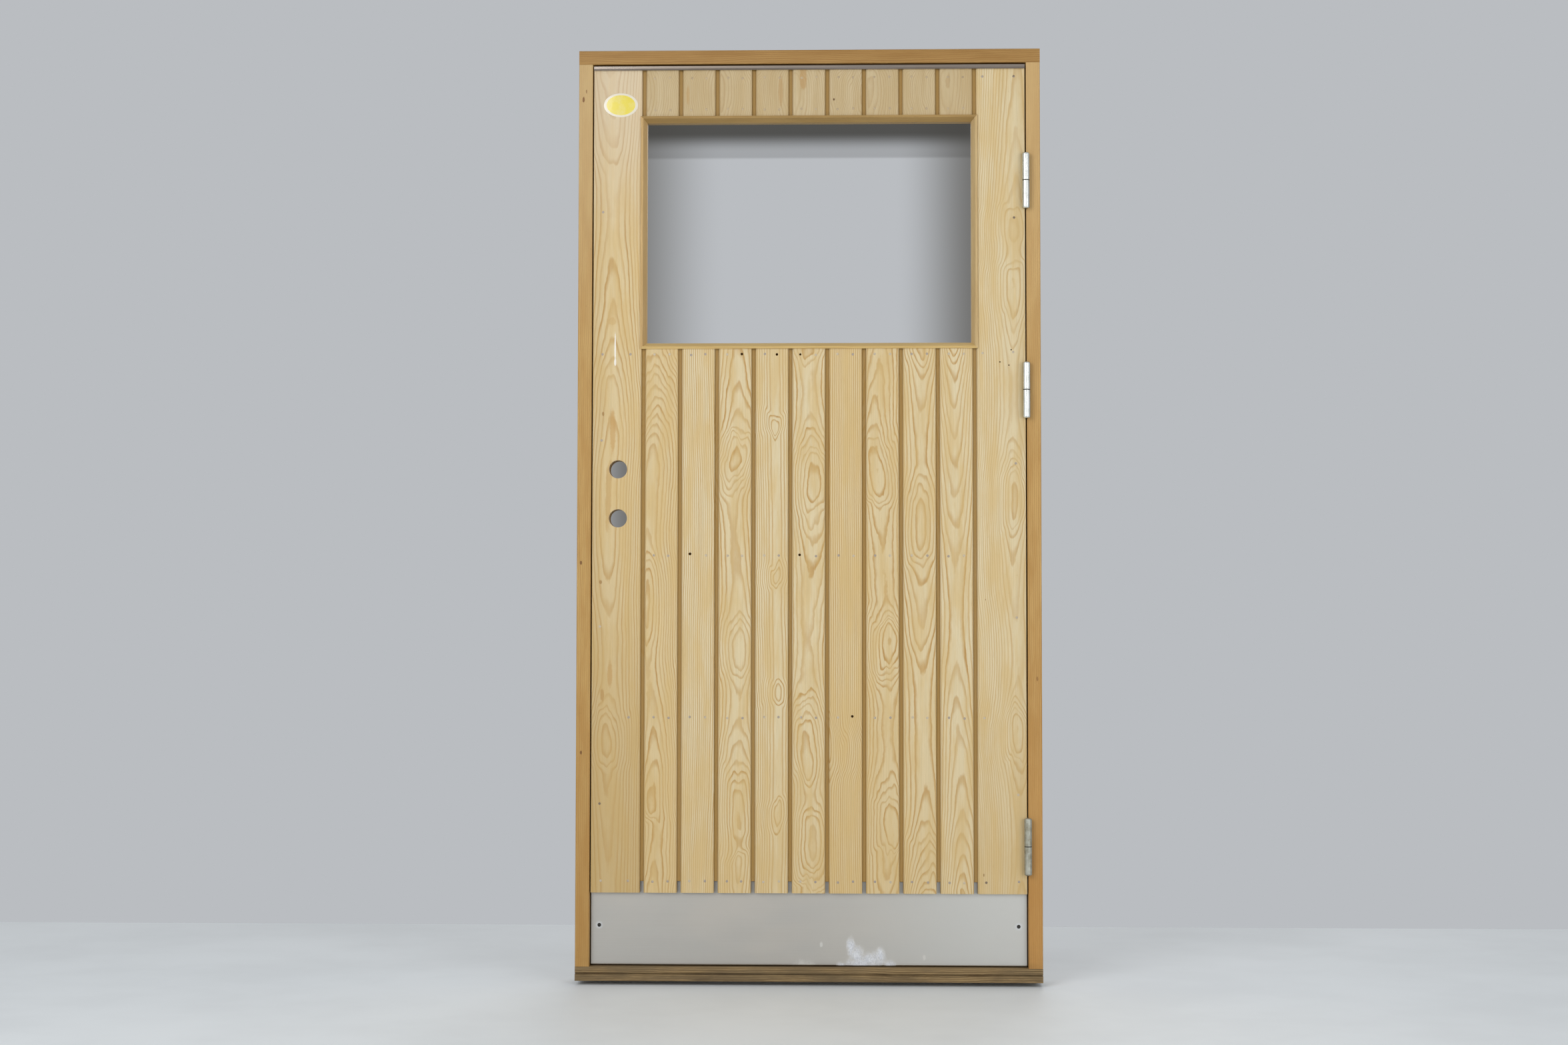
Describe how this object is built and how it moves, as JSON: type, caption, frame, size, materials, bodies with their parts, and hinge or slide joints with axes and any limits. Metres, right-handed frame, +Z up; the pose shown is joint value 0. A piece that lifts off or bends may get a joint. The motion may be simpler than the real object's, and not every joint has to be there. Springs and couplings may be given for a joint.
{
  "type": "boarded exterior door in frame",
  "caption": "Tongue-and-groove boarded pine door with an unglazed window and metal kick plate, hung on lift-off hinges in a rebated timber frame.",
  "frame": {"origin": "centre of the sill's underside", "axes": "+X to the right seen from outside, +Y inwards, +Z up"},
  "size_m": [0.99, 0.109, 1.99],
  "materials": {
    "frame_timber": "satin amber wood stain",
    "sill_timber": "weathered",
    "board_timber": "bare planed pine",
    "lining_timber": "bare planed pine",
    "core_timber": "bare planed pine",
    "panel_hardboard": "smooth hardboard",
    "kick_plate_metal": "satin",
    "drip_rail_aluminium": "satin",
    "hinge_steel": "satin zinc",
    "screw_steel": "zinc",
    "washer_plastic": "matt",
    "seal_rubber": "matt"
  },
  "bodies": {
    "frame": {"frame_head": "frame_timber", "frame_jamb_lock": "frame_timber", "frame_jamb_hinge": "frame_timber", "frame_sill": "sill_timber", "frame_corner_screws": "screw_steel", "weather_seal_lock": "seal_rubber", "weather_seal_hinge": "seal_rubber", "weather_seal_head": "seal_rubber", "weather_seal_sill": "seal_rubber", "hinge_screws_frame": "screw_steel", "hinge_washers": "washer_plastic", "hinge_upper_frame_half": "hinge_steel", "hinge_upper_pin": "hinge_steel", "hinge_middle_frame_half": "hinge_steel", "hinge_middle_pin": "hinge_steel", "hinge_lower_frame_half": "hinge_steel", "hinge_lower_pin": "hinge_steel"},
    "leaf": {"stile_lock": "core_timber", "stile_hinge": "core_timber", "rail_top": "core_timber", "rail_window": "core_timber", "rail_middle_upper": "core_timber", "rail_middle_lower": "core_timber", "rail_bottom": "core_timber", "board_wide_lock": "board_timber", "board_wide_hinge": "board_timber", "window_lining_head": "lining_timber", "window_lining_sill": "lining_timber", "window_lining_lock": "lining_timber", "window_lining_hinge": "lining_timber", "back_panel_upper": "panel_hardboard", "back_panel_lower": "panel_hardboard", "back_panel_lock": "panel_hardboard", "back_panel_hinge": "panel_hardboard", "kick_plate": "kick_plate_metal", "kick_plate_screws": "screw_steel", "drip_rail": "drip_rail_aluminium", "hinge_screws_leaf": "screw_steel", "board_long_1": "board_timber", "board_long_2": "board_timber", "board_long_3": "board_timber", "board_long_4": "board_timber", "board_long_5": "board_timber", "board_long_6": "board_timber", "board_long_7": "board_timber", "board_long_8": "board_timber", "board_long_9": "board_timber", "board_short_1": "board_timber", "board_short_2": "board_timber", "board_short_3": "board_timber", "board_short_4": "board_timber", "board_short_5": "board_timber", "board_short_6": "board_timber", "board_short_7": "board_timber", "board_short_8": "board_timber", "board_short_9": "board_timber", "hinge_upper_leaf_half": "hinge_steel", "hinge_middle_leaf_half": "hinge_steel", "hinge_lower_leaf_half": "hinge_steel"}
  },
  "joints": [
    {"name": "leaf_swing", "type": "hinge", "parent": "frame", "child": "leaf", "pos_m": [0.46375, -0.055, 0], "axis": [0, 0, 1], "range_deg": [0, 180]}
  ]
}
